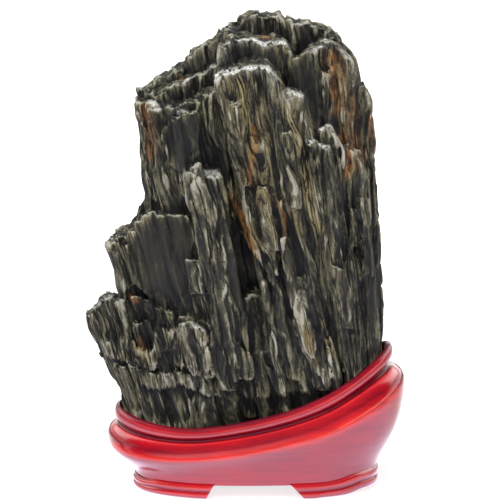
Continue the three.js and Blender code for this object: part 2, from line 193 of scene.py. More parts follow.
# Paler, fresher places on the front, in the same form.
PALE_STREAKS = {
    "pale block": (((285, 99), (295, 106), (300, 120), (303, 136)), 11, 1.1),
    "main plate, left": (((223, 95), (229, 110), (237, 126), (244, 142)), 7, 0.6),
    "left plate": (((196, 178), (203, 192), (207, 206)), 9, 0.75),
    "left ridge": (((193, 219), (194, 243), (197, 265), (200, 282), (204, 304), (209, 321)), 3.2, 1.1),
    "middle ridge": (((208, 205), (217, 237), (226, 261), (228, 287), (222, 300), (228, 326),
                      (240, 376)), 3.6, 0.85),
    "vein under the block": (((261, 274), (265, 293), (264, 321), (266, 341)), 1.7, 0.8),
    "tongue": (((297, 302), (300, 320), (308, 345), (315, 360)), 11, 1.4),
    "right vein": (((352, 243), (358, 262), (361, 280), (360, 298), (352, 313), (347, 330),
                    (351, 350)), 1.5, 1.0),
    "right ridges": (((322, 200), (330, 225), (333, 250), (330, 275)), 6, 0.55),
    "right of the block": (((300, 160), (310, 200), (322, 240)), 9, 0.3),
    "left strip": (((143, 160), (152, 166)), 9, 0.4),
    "second step edge": (((108, 241), (113, 261), (118, 276), (121, 287)), 3.4, 0.6),
    "low flake": (((180, 333), (193, 334), (205, 345)), 8, 0.5),
    "hooked flake": (((249, 357), (258, 350), (267, 352), (272, 362), (278, 374)), 1.8, 0.9),
    "left foot of the stone": (((118, 385), (130, 404), (140, 412)), 5, 0.6),
    "base": (((140, 400), (165, 408), (200, 405), (240, 398)), 12, 0.5),
    "low sheets": (((140, 372), (180, 378), (220, 384)), 12, 0.55),
    "third step": (((95, 325), (108, 350), (122, 378)), 14, 0.6),
    "main plate": (((228, 85), (246, 120), (266, 160), (285, 195)), 22, 0.58),
    "block": (((236, 190), (256, 215), (272, 250)), 16, 0.6),
    "crown plate": (((322, 55), (338, 90), (352, 150)), 12, 0.25),
    "top flecks": (((184, 62), (197, 52), (213, 58), (200, 68), (188, 79)), 11, 1.3),
    "top flecks, left": (((142, 96), (152, 98), (158, 110)), 4, 0.9),
    "crown flecks": (((312, 28), (326, 34), (338, 40), (350, 62)), 5, 0.5),
}
# Broken edges that catch the light from above, painted pale partly as paler broken stone and partly as
# painted highlight, in the same form.
RIM_STREAKS = {
    "main plate": (((216, 78), (222, 72), (235, 72), (250, 69), (268, 70), (275, 82)), 5, 1.0),
    "second tier": (((226, 44), (241, 42), (255, 40), (263, 45), (287, 42), (296, 50)), 3.2, 0.9),
    "second tier, left": (((226, 51), (220, 61), (209, 67), (198, 70), (187, 80)), 4, 0.9),
    "pale block": (((278, 96), (287, 92), (300, 95), (308, 102)), 3.6, 0.8),
    "notch": (((309, 138), (315, 144), (324, 147), (330, 150)), 3, 0.9),
    "small block": (((320, 129), (331, 127), (336, 136)), 2.6, 0.8),
    "crown plate": (((314, 50), (322, 47), (332, 43)), 3, 0.7),
    "crown": (((306, 24), (325, 25), (345, 37), (356, 70)), 4, 0.35),
    "left crest": (((136, 93), (146, 96), (152, 103), (158, 110)), 3.4, 0.8),
    "left plate": (((166, 118), (172, 113), (182, 111)), 3, 0.3),
    "ridge plate": (((190, 178), (200, 173), (216, 173)), 4, 0.4),
    "third step": (((85, 310), (100, 302), (112, 295)), 3, 0.4),
    "hanging end": (((172, 332), (178, 328), (192, 325), (204, 330)), 3, 0.45),
    "low rim": (((256, 350), (268, 351), (274, 362)), 3, 0.35),
}
# Darker places on the front, in the same form: some are darker stone, while the recess, the cavity, the
# places below the crown and the stone's foot are painted shade.
DARK_STREAKS = {
    "left tier": (((172, 125), (190, 135), (200, 160)), 26, 0.8),
    "recess": (((228, 222), (240, 260), (246, 320)), 14, 0.9),
    "second step": (((150, 225), (164, 256), (178, 290)), 26, 0.5),
    "cavity": (((134, 296), (142, 318), (145, 342)), 9, 1.0),
    "below the crown": (((309, 60), (314, 100), (322, 120)), 9, 0.9),
    "middle": (((275, 100), (290, 150), (286, 190)), 6, 0.5),
    "middle, low": (((288, 200), (296, 250), (292, 285)), 10, 0.8),
    "right slab": (((368, 235), (372, 290), (372, 340)), 14, 0.6),
    "right strip": (((345, 190), (345, 250)), 6, 0.7),
    "second tier": (((236, 56), (262, 54), (288, 60), (300, 84)), 14, 0.4),
    "peak": (((244, 30), (286, 28)), 16, 0.5),
    "right side": (((330, 170), (352, 200), (366, 250)), 18, 0.35),
    "foot of the stone": (((250, 405), (290, 400), (340, 385)), 8, 0.7),
}
# Smooth faces, where the ridges fade: the centre, half width and half height, and how smooth it is.
SMOOTH_FACES = {
    "slab": ((164, 256), 32, 50, 1.0),
    "second tier": ((260, 57), 32, 13, 0.75),
    "second tier, right": ((299, 78), 11, 34, 0.7),
    "left tier": ((186, 138), 20, 26, 0.65),
    "recess": ((242, 268), 14, 44, 0.8),
    "below the crown": ((313, 92), 7, 32, 0.6),
    "right slab": ((369, 292), 10, 50, 0.6),
    "middle, low": ((292, 245), 8, 34, 0.6),
}

# Pushes that shape the stone's outline: the place in the front view and the reach, in pixels, then how far it
# moves to the right and up, in millimetres.
OUTLINE_PUSHES = {
    "peak": ((282, 18), 17, 1.0, 8.0),
    "peak, left": ((223, 28), 15, -2.0, 4.0),
    "crown": ((330, 30), 12, 0.0, 1.6),
    "crown, right": ((356, 66), 26, 4.2, 1.4),
    "right edge": ((368, 95), 18, 1.4, 0.4),
    "right side": ((384, 250), 36, -1.9, 0.0),
    "right side, low": ((384, 320), 30, 1.3, 0.0),
    "left crest": ((137, 95), 9, -1.2, 1.6),
    "left slope": ((168, 76), 24, -1.0, 1.6),
    "left slope, upper": ((196, 46), 18, -0.6, 1.2),
    "left side": ((138, 172), 24, -1.8, 0.0),
    "second step": ((118, 228), 18, -1.4, 5.0),
    "second step, side": ((111, 262), 26, 1.4, 0.0),
    "third step": ((104, 300), 22, -0.4, 3.6),
    "third step, left": ((90, 332), 20, -1.6, 0.0),
    "foot of the stone": ((115, 390), 16, 3.6, 0.0),
}
# Hollows filled up: the outline in the front view, and how far in front of the stone's middle the filled face
# lies, in millimetres, at its upper left, upper right, lower left and lower right.
FILLED = {
    "above the base, left": (((106, 320), (142, 320), (148, 368), (112, 368)), (11, 17, 13, 27)),
    "above the base": (((136, 320), (192, 330), (196, 368), (140, 368)), (21, 27, 26, 28.5)),
}

# Sheets that have split off the front, or still stand on it: the outline in the front view, how far it stands
# out at its broken end in millimetres, or lies back where negative, and how much of that is left at the other
# end. The broken end is the lower one.
SHEETS = {
    "base sheet": (((113, 334), (131, 360), (141, 384), (165, 388), (183, 384), (191, 389), (205, 391),
                    (222, 395), (235, 402), (256, 397), (274, 400), (279, 392), (300, 394), (318, 388),
                    (345, 372), (345, 300), (200, 300), (130, 310)), 1.4, 0.0),
    "under the base sheet": (((100, 354), (131, 363), (141, 387), (165, 391), (183, 387), (205, 394),
                              (214, 396), (214, 445), (100, 445)), -3.0, 1.0),
    "cavity": (((126, 289), (135, 287), (146, 295), (157, 317), (153, 341), (150, 350), (141, 352),
                (133, 339), (126, 317)), -5.0, 0.8),
    "step's hanging end": (((146, 296), (157, 317), (151, 341), (142, 352), (155, 368), (158, 360),
                            (168, 350), (174, 339), (176, 328), (172, 306), (160, 290)), 3.0, 0.2),
    "low flake": (((176, 330), (191, 326), (204, 330), (210, 345), (214, 368), (196, 375),
                   (180, 366)), 2.0, 0.5),
    "recess": (((222, 217), (228, 219), (256, 258), (266, 272), (261, 291), (259, 330), (262, 350),
                (247, 356), (237, 340), (230, 291), (226, 254)), -3.0, 0.6),
    "block": (((222, 150), (235, 168), (250, 180), (266, 186), (284, 204), (287, 235), (281, 262),
               (272, 286), (263, 270), (256, 259), (240, 232), (229, 215), (224, 190)), 2.6, 0.1),
    "tongue": (((296, 304), (300, 295), (306, 308), (317, 330), (318, 365), (308, 361), (298, 343),
                (293, 321)), 2.8, 0.4),
    "pointed tongue": (((311, 340), (315, 373), (328, 390), (331, 371), (327, 340)), 2.4, 0.2),
    "hooked flake": (((240, 330), (248, 357), (258, 350), (267, 352), (272, 363), (280, 376), (285, 360),
                      (276, 330)), 2.0, 0.1),
    "right slab": (((352, 243), (358, 262), (361, 280), (360, 298), (352, 313), (347, 330), (352, 352),
                    (356, 380), (390, 360), (390, 235)), -1.6, 0.5),
    "left plate": (((163, 139), (170, 115), (181, 112), (196, 110), (204, 130), (211, 150), (213, 165),
                    (200, 170), (185, 172), (172, 165)), 1.6, 0.8),
    "ridge plate": (((191, 181), (200, 173), (215, 174), (219, 200), (217, 237), (226, 261), (228, 287),
                     (223, 300), (229, 326), (236, 352), (244, 386), (232, 380), (222, 350), (210, 321),
                     (204, 300), (197, 262), (193, 219)), 2.2, 0.9),
    "small step": (((190, 155), (205, 152), (211, 160), (210, 172), (192, 172)), 1.2, 0.9),
    "middle strip": (((282, 200), (292, 204), (300, 240), (306, 290), (300, 296), (292, 262),
                      (286, 236)), -1.8, 0.7),
    "right strip": (((334, 150), (341, 152), (348, 200), (350, 240), (344, 262), (338, 220)), -1.8, 0.7),
}


class StandSettings(bpy.types.PropertyGroup):
    """Sizes and colours of the stand and its feet."""

    wood: bpy.props.FloatVectorProperty(
        name="Lacquered Wood", description="Colour of the red wood under the lacquer",
        subtype="COLOR", size=3, min=0, max=1, default=(0.47, 0.005, 0.013))
    # Painted shade: this colour darkens the grooves, coves, socket and the lacquer next to the stone.
    shade: bpy.props.FloatVectorProperty(
        name="Groove Colour", description="Colour of the stain gathered in the grooves",
        subtype="COLOR", size=3, min=0, max=1, default=(0.12, 0.003, 0.012))
    # Painted highlight: this colour brightens the mouldings' crests and the feet's rolls, as if lit.
    crest_highlight: bpy.props.FloatVectorProperty(
        name="Rubbed Colour", description="Colour of the edges where the lacquer is rubbed thin",
        subtype="COLOR", size=3, min=0, max=1, default=(0.82, 0.030, 0.018))
    steps: bpy.props.IntProperty(
        name="Steps", description="Facets round the stand before it is smoothed",
        min=24, max=256, default=STAND_STEPS)


class StoneSettings(bpy.types.PropertyGroup):
    """Sizes and colours of the stone."""

    cell: bpy.props.FloatProperty(
        name="Cell", description="Width of the mesh cells across the grain",
        unit="LENGTH", min=0.0004, max=0.01, precision=5, default=0.00062)
    triangles: bpy.props.IntProperty(
        name="Triangles", description="Most triangles left on the stone",
        min=20000, max=200000, default=196000)
    relief: bpy.props.FloatProperty(
        name="Relief", description="How strongly the split sheets and the ridges stand out",
        subtype="FACTOR", min=0, max=3, default=1.0)
    dark: bpy.props.FloatVectorProperty(
        name="Schist", description="Colour of the dark faces",
        subtype="COLOR", size=3, min=0, max=1, default=(0.0265, 0.0255, 0.0185))
    olive: bpy.props.FloatVectorProperty(
        name="Ridges", description="Colour of the weathered ridges",
        subtype="COLOR", size=3, min=0, max=1, default=(0.180, 0.160, 0.096))
    # The pale colour is both freshly broken stone and painted highlight on ridges and on ledges that face up.
    pale: bpy.props.FloatVectorProperty(
        name="Fresh Edges", description="Colour of freshly broken edges",
        subtype="COLOR", size=3, min=0, max=1, default=(0.52, 0.50, 0.43))
    # The rims' colour is partly paler broken stone and partly painted highlight where the rims face up.
    rims: bpy.props.FloatVectorProperty(
        name="Broken Rims", description="Colour of the thick broken rims of the plates",
        subtype="COLOR", size=3, min=0, max=1, default=(0.80, 0.80, 0.77))
    rust: bpy.props.FloatVectorProperty(
        name="Rust", description="Colour of the iron stains",
        subtype="COLOR", size=3, min=0, max=1, default=(0.15, 0.072, 0.030))
    ember: bpy.props.FloatVectorProperty(
        name="Bright Rust", description="Colour of the iron stains where they are strongest",
        subtype="COLOR", size=3, min=0, max=1, default=(0.44, 0.185, 0.055))
    gold: bpy.props.FloatVectorProperty(
        name="Ochre", description="Colour of the ochre stains",
        subtype="COLOR", size=3, min=0, max=1, default=(0.34, 0.27, 0.125))


class StudioSettings(bpy.types.PropertyGroup):
    """The camera."""

    elevation: bpy.props.FloatProperty(
        name="Elevation", description="Camera angle above the horizon",
        subtype="ANGLE", default=math.radians(10))
    distance: bpy.props.FloatProperty(
        name="Distance", description="Camera distance from the middle of the piece",
        unit="LENGTH", min=0.3, default=1.2)
    lens: bpy.props.FloatProperty(
        name="Lens", description="Focal length for a sensor 36 mm wide",
        min=20, max=400, default=139.3)
    target_height: bpy.props.FloatProperty(
        name="Target Height", description="Height of the point the camera looks at",
        unit="LENGTH", default=0.1476)


# Seeded noise

def lattice_gradients(cells, seed):
    """Three numbers from -1 to 1 for each whole-numbered cell, the same for the same cell and seed."""
    mixed = cells[:, 0] * 73856093 ^ cells[:, 1] * 19349663 ^ cells[:, 2] * 83492791 ^ seed * 265443576
    axes = []
    for axis in range(3):
        value = (mixed + axis * 668265263) & 0xFFFFFFFF
        value = ((value ^ value >> 15) * 2246822519) & 0xFFFFFFFF
        value = ((value ^ value >> 13) * 3266489917) & 0xFFFFFFFF
        axes.append((value ^ value >> 16) / 0x7FFFFFFF - 1)
    return np.stack(axes, axis=1)


def noise(points, seed):
    """Smooth noise from about -1 to 1 at each point, with features about one unit wide."""
    cells = np.floor(points).astype(np.int64)
    part = points - cells
    fade = part * part * part * (part * (part * 6 - 15) + 10)
    total = np.zeros(len(points))
    for offset in itertools.product((0, 1), repeat=3):
        slope = ((part - offset) * lattice_gradients(cells + offset, seed)).sum(axis=1)
        total += slope * np.prod(np.where(offset, fade, 1 - fade), axis=1)
    return total * 1.5


def smooth_step(low, high, value):
    """0 below low, 1 above high, and a smooth rise between them."""
    share = np.clip((value - low) / (high - low), 0, 1)
    return share * share * (3 - 2 * share)


# Meshes

def mesh_points(mesh):
    """A mesh's vertices as millimetres from the plan's centre."""
    points = np.empty(len(mesh.vertices) * 3)
    mesh.vertices.foreach_get("co", points)
    return points.reshape(-1, 3) / MM - np.array(PLAN_CENTRE)


def set_mesh_points(mesh, points):
    """Puts a mesh's vertices at points in millimetres from the plan's centre."""
    mesh.vertices.foreach_set("co", ((points + np.array(PLAN_CENTRE)) * MM).astype(np.float32).ravel())
    mesh.update()


def mesh_normals(mesh):
    normals = np.empty(len(mesh.vertices) * 3)
    mesh.vertex_normals.foreach_get("vector", normals)
    return normals.reshape(-1, 3)


def new_piece(name, mesh, node, materials):
    """Adds a finished mesh as a piece that stands for a node of the part."""
    piece = bpy.data.objects.new(name, mesh)
    bpy.context.scene.collection.objects.link(piece)
    for material in materials:
        mesh.materials.append(material)
    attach(piece, "root")
    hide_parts(node)
    return piece


def add_attribute(mesh, name, values):
    """Stores one number, or one vector, for each vertex."""
    is_vector = values.ndim == 2
    attribute = mesh.attributes.new(name, "FLOAT_VECTOR" if is_vector else "FLOAT", "POINT")
    attribute.data.foreach_set("vector" if is_vector else "value", values.astype(np.float32).ravel())


def smooth_subdivision(piece, levels):
    modifier = piece.modifiers.new("Smooth", "SUBSURF")
    modifier.levels = levels
    modifier.render_levels = levels


def apply_modifiers(piece):
    """Gives a piece the mesh that its modifiers make, and drops them."""
    evaluated = piece.evaluated_get(bpy.context.evaluated_depsgraph_get())
    mesh = bpy.data.meshes.new_from_object(evaluated)
    piece.modifiers.clear()
    old = piece.data
    piece.data = mesh
    bpy.data.meshes.remove(old)
    return mesh


# The stand's shape

def smooth_height(line, x):
    """The height at x of a smooth curve through (x, z) points."""
    xs, zs = np.array(line, float).T
    slopes = np.gradient(zs, xs)
    place = int(np.clip(np.searchsorted(xs, x) - 1, 0, len(xs) - 2))
    width = xs[place + 1] - xs[place]
    share = np.clip((x - xs[place]) / width, 0, 1)
    start = (1 + 2 * share) * (1 - share) ** 2 * zs[place]
    start += share * (1 - share) ** 2 * width * slopes[place]
    end = share ** 2 * (3 - 2 * share) * zs[place + 1]
    return start + end + share ** 2 * (share - 1) * width * slopes[place + 1]


def plan_point(bearing, left, front, right, power=PLAN_POWER, blend=1.5):
    """The point of the stand's plan at a bearing, some millimetres in from the shoulder's edge."""
    across, deep = math.cos(bearing), math.sin(bearing)
    side = left if across < 0 else right
    inset = front + (side - front) * abs(across) ** blend
    reach = (STAND_LEFT if across < 0 else STAND_RIGHT) - inset
    along_x = math.copysign(abs(across) ** (2 / power), across)
    along_y = math.copysign(abs(deep) ** (2 / power), deep)
    return reach * along_x, (STAND_HALF_DEPTH - inset) * along_y


def stand_height(rise, x):
    """The height at x of a part of the section: 0 underside, 1 shoulder's edge, 2 collar's top."""
    shoulder = smooth_height(SHOULDER_LINE, x)
    if rise <= 1:
        return STAND_UNDERSIDE + (shoulder - STAND_UNDERSIDE) * rise
    return shoulder + (smooth_height(COLLAR_LINE, x) - shoulder) * (rise - 1)


def plan_power(rise):
    """How square the plan is at a part of the section: more so at the underside than at the shoulder."""
    return FOOT_POWER + (PLAN_POWER - FOOT_POWER) * min(1, rise)


def build_stand_body(settings):
    """Turns the stand's section once round, then bends its rings to the plan and the swept tiers."""
    work = bmesh.new()
    last = len(STAND_SECTION)
    column = [work.verts.new((ring % (last + 2), 0, ring)) for ring in range(last + 3)]
    for low, high in itertools.pairwise(column):
        work.edges.new((low, high))
    bmesh.ops.spin(work, geom=work.verts[:] + work.edges[:], cent=(0, 0, 0), axis=(0, 0, 1),
                   angle=math.tau, steps=settings.steps, use_merge=True)
    bmesh.ops.remove_doubles(work, verts=work.verts, dist=1e-4)
    shade_layer = work.verts.layers.float.new("painted_shade_and_highlight")
    for vertex in work.verts:
        ring = round(vertex.co.z) - 1
        bearing = math.atan2(vertex.co.y, vertex.co.x)
        # The underside's middle and the socket get the full painted shade.
        vertex[shade_layer] = 1
        if ring < 0:
            vertex.co = (0, 0, STAND_UNDERSIDE)
        elif ring > last:
            vertex.co = (0, 0, SOCKET_FLOOR)
        elif ring == last:
            vertex.co = (*plan_point(bearing, *SOCKET_INSETS), SOCKET_FLOOR)
        else:
            left, front, right, rise, shade = STAND_SECTION[ring]
            x, y = plan_point(bearing, left, front, right, plan_power(rise), 1.5 if rise < 1 else 3)
            vertex.co = (x, y, stand_height(rise, x))
            vertex[shade_layer] = shade
    bmesh.ops.recalc_face_normals(work, faces=work.faces)
    return finish_moulding(work, "stand_body")


def finish_moulding(work, name):
    """Makes a mesh of a moulding that was shaped in millimetres round the plan's centre."""
    bmesh.ops.scale(work, vec=(MM, MM, MM), verts=work.verts)
    bmesh.ops.translate(work, vec=PLAN_CENTRE * MM, verts=work.verts)
    for face in work.faces:
        face.smooth = True
    mesh = bpy.data.meshes.new(name)
    work.to_mesh(mesh)
    work.free()
    return mesh


def wall_at(height, x):
    """The body's lower wall at a height: how far in from the shoulder's edge it lies at the left, front and
    right, and how square its plan is."""
    shoulder = smooth_height(SHOULDER_LINE, x)
    rise = (height - STAND_UNDERSIDE) / (shoulder - STAND_UNDERSIDE)
    rows = np.array([row[:4] for row in STAND_SECTION if row[3] <= 1])
    return [float(np.interp(rise, rows[:, 3], rows[:, side])) for side in range(3)], plan_power(rise)


def bearing_at(x, insets, power):
    """The bearing from 0 at the right to pi at the left where an inset plan reaches x."""
    low, high = 0, math.pi
    for _ in range(24):
        middle = (low + high) / 2
        if plan_point(middle, *insets, power)[0] > x:
            low = middle
        else:
            high = middle
    return low


def foot_back(row, top, x):
    """The insets, plan power and height of the rows behind a foot's outer face: down the body's wall, back
    under the body and down to the floor."""
    edge = STAND_SECTION[0][:3]
    inner = [inset + FOOT_DEPTH for inset in edge]
    under = STAND_UNDERSIDE - FOOT_GAP
    rows = (
        (*wall_at(top, x), top),
        (*wall_at((top + STAND_UNDERSIDE) / 2, x), (top + STAND_UNDERSIDE) / 2),
        (edge, FOOT_POWER, under),
        (inner, FOOT_POWER, under),
        (inner, FOOT_POWER, 0),
    )
    insets, power, height = rows[row]
    return [inset - FOOT_GAP * (height > under) for inset in insets], power, height


def build_foot(name):
    """Sweeps a foot's closed section along the plan between its two bearings."""
    end, middle, side, tall, turned, lift, slant = FEET[name]
    edge = STAND_SECTION[0][:3]
    work = bmesh.new()
    column = [work.verts.new((1, 0, row)) for row in range(len(FOOT_FACE) + 5)]
    for low, high in itertools.pairwise([*column, column[0]]):
        work.edges.new((low, high))
    bmesh.ops.spin(work, geom=work.verts[:] + work.edges[:], cent=(0, 0, 0), axis=(0, 0, 1),
                   angle=math.pi / 2, steps=FOOT_STEPS)
    bmesh.ops.remove_doubles(work, verts=work.verts, dist=1e-4)
    shade_layer = work.verts.layers.float.new("painted_shade_and_highlight")
    for vertex in work.verts:
        row = round(vertex.co.z)
        share = math.atan2(vertex.co.y, vertex.co.x) / (math.pi / 2)
        bearing = math.radians(end + (middle - end) * share)
        rising = smooth_step(turned, turned * 0.55, share)
        sole = max(0, lift) * SOLE_SHARE * rising ** 3
        lip = plan_point(bearing, *[inset - FOOT_FACE[-1][0] for inset in edge], power=FOOT_POWER)[0]
        if row < len(FOOT_FACE):
            out, up, vertex[shade_layer] = FOOT_FACE[row]
            insets = [inset - out for inset in edge]
            x, y = plan_point(bearing, *insets, power=FOOT_POWER)
            height = sole + (tall + lift * rising - sole) * up
        else:
            # The rows behind the foot's face, under the body, get the full painted shade.
            vertex[shade_layer] = 1
            insets, power, height = foot_back(row - len(FOOT_FACE), tall + lift * rising, lip)
            same_x = bearing_at(lip, insets, power)
            x, y = plan_point(bearing + (same_x - bearing) * share ** 2, *insets, power)
        shortening = slant * (1 - min(1, height / tall)) * smooth_step(0.8, 1.0, share)
        vertex.co = (x + math.copysign(shortening, x), side * y, height)
    caps = bmesh.ops.holes_fill(work, edges=[edge for edge in work.edges if edge.is_boundary], sides=0)
    bmesh.ops.inset_individual(work, faces=caps["faces"], thickness=0.7)
    bmesh.ops.recalc_face_normals(work, faces=work.faces)
    return finish_moulding(work, name)


# The stone's shape

def grain_lean(across):
    """How far a fibre drifts to the right for each millimetre down, by where it crosses the grain's level."""
    level, lean = np.array(GRAIN_LEAN, float).T
    return np.interp(across, level, lean)


def straighten(points):
    """Points in the grain's own space, where every fibre stands upright."""
    drop = GRAIN_LEVEL - points[:, 2]
    across = points[:, 0].copy()
    for _ in range(60):
        across = points[:, 0] - grain_lean(across) * drop
    return np.column_stack((across, points[:, 1:]))


def lean_back(points):
    """Points of the grain's space back where they belong."""
    across = points[:, 0]
    return np.column_stack((across + grain_lean(across) * (GRAIN_LEVEL - points[:, 2]), points[:, 1:]))


def remesh_along_grain(piece, cell):
    """Remeshes a piece in even cells that are narrow across the grain and long along it."""
    squeeze = np.array((1, 1, GRAIN_SQUEEZE))
    set_mesh_points(piece.data, straighten(mesh_points(piece.data)) * squeeze)
    remesh = piece.modifiers.new("Cells", "REMESH")
    remesh.mode = "VOXEL"
    remesh.voxel_size = cell
    mesh = apply_modifiers(piece)
    points = mesh_points(mesh) / squeeze
    return mesh, points


class Surface:
    """A mesh's points in the grain's space, with what is needed to smooth and measure them."""

    def __init__(self, mesh, points):
        self.mesh = mesh
        self.points = points
        ends = np.empty(len(mesh.edges) * 2, np.int64)
        mesh.edges.foreach_get("vertices", ends)
        self.first, self.second = ends.reshape(-1, 2).T
        count = len(points)
        self.degree = np.bincount(self.first, minlength=count) + np.bincount(self.second, minlength=count)

    def averaged(self, values):
        """Each value replaced by the mean of its neighbours'."""
        columns = values.reshape(len(values), -1)
        means = []
        for column in columns.T:
            total = np.bincount(self.first, column[self.second], len(column))
            total += np.bincount(self.second, column[self.first], len(column))
            means.append(total / self.degree)
        return np.stack(means, axis=1).reshape(values.shape)

    def smoothed(self, values, rounds):
        for _ in range(rounds):
            values = values * 0.3 + self.averaged(values) * 0.7
        return values

    def normals(self):
        """Vertex normals in the part's own space."""
        set_mesh_points(self.mesh, lean_back(self.points))
        return mesh_normals(self.mesh)


def sway(points):
    """Points moved sideways so that the fibres, straight in the grain's space, run round each other."""
    across = noise(points / (13, 13, 30), 15) * 4.2 + noise(points / (5, 5, 13), 16) * 1.3
    return points + np.column_stack((across, 0 * across, 0 * across))


def split_sheets(points, width, length, seed):
    """1 where a sheet is still there and 0 where it has split off, with torn ends across the grain."""
    torn = noise(points / (1.5, 1.5, 90), seed + 1) * 2.4 + noise(points / (4.2, 4.2, 90), seed + 2) * 5
    moved = points + np.column_stack((0 * torn, 0 * torn, torn))
    level = noise(moved / (width, width, length), seed) + noise(moved / (2.6, 2.6, 40), seed + 3) * 0.12
    return smooth_step(-0.05, 0.05, level) * (0.75 + 0.25 * noise(points / (9, 9, 50), seed + 4))


def ridges(points, width, length, seed):
    """Sharp crests: 1 on the crests, falling away on both sides, drawn out along the grain."""
    return 1 - np.abs(noise(points / (width, width, length), seed)) * 2.2


def front_view(world):
    """Where points lie in the front view, as pixels right and down."""
    settings = bpy.context.scene.viewing_studio
    target = np.array((0, 0, settings.target_height / MM))
    back = np.array((0, -math.cos(settings.elevation), math.sin(settings.elevation)))
    above = np.array((0, math.sin(settings.elevation), math.cos(settings.elevation)))
    offset = world - target
    scale = settings.lens / SENSOR_WIDTH * VIEW_SIZE / (settings.distance / MM - offset @ back)
    return np.column_stack((VIEW_SIZE / 2 + offset[:, 0] * scale, VIEW_SIZE / 2 - offset @ above * scale))


def line_distance(view, start, end):
    """How far points of the view lie from the stretch between two others."""
    along = np.subtract(end, start)
    offset = view - start
    share = np.clip(offset @ along / (along @ along), 0, 1)
    return np.linalg.norm(offset - share[:, None] * along, axis=1)


def streak_mask(view, streaks):
    """How much of each point of the view lies in one of the streaks."""
    mask = np.zeros(len(view))
    for line, width, strength in streaks.values():
        nearest = np.full(len(view), 1e9)
        for start, end in itertools.pairwise(line):
            nearest = np.minimum(nearest, line_distance(view, start, end))
        mask = np.maximum(mask, strength * smooth_step(width * 1.1, width * 0.3, nearest))
    return mask


def outline_reach(view, outline):
    """How far points of the view lie inside an outline, in pixels, and below 0 outside it."""
    nearest = np.full(len(view), 1e9)
    inside = np.zeros(len(view), bool)
    for (x0, y0), (x1, y1) in itertools.pairwise((*outline, outline[0])):
        nearest = np.minimum(nearest, line_distance(view, (x0, y0), (x1, y1)))
        if y0 != y1:
            crossing = x0 + (view[:, 1] - y0) * (x1 - x0) / (y1 - y0)
            inside ^= ((y0 > view[:, 1]) != (y1 > view[:, 1])) & (view[:, 0] < crossing)
    return np.where(inside, nearest, -nearest)


def outline_share(view, outline):
    """How far down an outline each point of the view lies: 0 at its top, 1 at its bottom."""
    top = min(y for x, y in outline)
    bottom = max(y for x, y in outline)
    return np.clip((view[:, 1] - top) / (bottom - top), 0, 1)


def sheet_depth(view, outline, depth, left_over):
    """How far a sheet stands out at points of the view."""
    share = left_over + (1 - left_over) * outline_share(view, outline)
    return smooth_step(-0.6, 0.6, outline_reach(view, outline)) * depth * share


def filling(view, forward, outline, corners):
    """How far points of the view come forward to a filled face."""
    upper_left, upper_right, lower_left, lower_right = corners
    left = min(x for x, y in outline)
    right = max(x for x, y in outline)
    across = np.clip((view[:, 0] - left) / (right - left), 0, 1)
    down = outline_share(view, outline)
    upper = upper_left + (upper_right - upper_left) * across
    lower = lower_left + (lower_right - lower_left) * across
    wanted = np.maximum(upper + (lower - upper) * down - forward, 0)
    return wanted * smooth_step(-1, 3, outline_reach(view, outline))


# Sheets split off all over the stone: their width across the grain, length, thickness, and seed. The surface
# is then drawn back by SHEET_LEVEL, so that it stays where the solid's is.
SHEET_LEVEL = 1.8
SPLIT_SHEETS = ((16, 80, 1.8, 11), (9, 44, 1.3, 21), (5, 26, 0.65, 31), (2.9, 14, 0.25, 41))


def stone_block():
    """The stone's solid, with its triangles joined, as an object to remesh."""
    work = bmesh.new()
    work.from_mesh(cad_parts["stone"].data)
    bmesh.ops.remove_doubles(work, verts=work.verts, dist=1e-6)
    mesh = bpy.data.meshes.new("stone_cells")
    work.to_mesh(mesh)
    work.free()
    block = bpy.data.objects.new("stone_cells", mesh)
    bpy.context.scene.collection.objects.link(block)
    return block


def smooth_places(view):
    """How smooth the stone is at points of the view: more than 0 on one of its smooth faces."""
    slab = np.zeros(len(view))
    for centre, half_width, half_height, smoothness in SMOOTH_FACES.values():
        reach = np.linalg.norm((view - centre) / (half_width, half_height), axis=1)
        slab = np.maximum(slab, smooth_step(1.1, 0.75, reach) * smoothness)
    return slab


def wear_outline(surface, view, freedom):
    """Makes the terraces' edges wander and their ends ragged, and pushes the outline into shape."""
    wander = np.column_stack([noise(surface.points / (15, 15, 26), seed) for seed in (1, 2, 3)])
    wander += np.column_stack([noise(surface.points / (6, 6, 15), seed) for seed in (5, 6, 7)]) * 0.45
    surface.points = surface.points + freedom[:, None] * wander * (1.5, 1.2, 2.0)
    teeth = noise(surface.points / (4.5, 4.5, 60), 4) * 1.3
    teeth = teeth + noise(surface.points / (1.7, 1.7, 60), 8) * 0.8
    surface.points[:, 2] += freedom * teeth
    for place, reach, right, up in OUTLINE_PUSHES.values():
        share = smooth_step(reach, 0, np.linalg.norm(view - place, axis=1)) * freedom
        surface.points[:, 0] += right * share
        surface.points[:, 2] += up * share


def lay_sheets(surface, view, front, freedom):
    """Fills the hollows and lays the single sheets, where the front is free of the stand."""
    seeds = surface.points
    torn_view = view + np.column_stack((noise(seeds / (9, 9, 4), 81) * 1.4,
                                        noise(seeds / (1.6, 1.6, 30), 82) * 3.2))
    for outline, corners in FILLED.values():
        filled = filling(torn_view, -surface.points[:, 1], outline, corners)
        surface.points[:, 1] -= filled * front * freedom
    placed = sum(sheet_depth(torn_view, *sheet) for sheet in SHEETS.values())
    surface.points[:, 1] -= placed * front * freedom


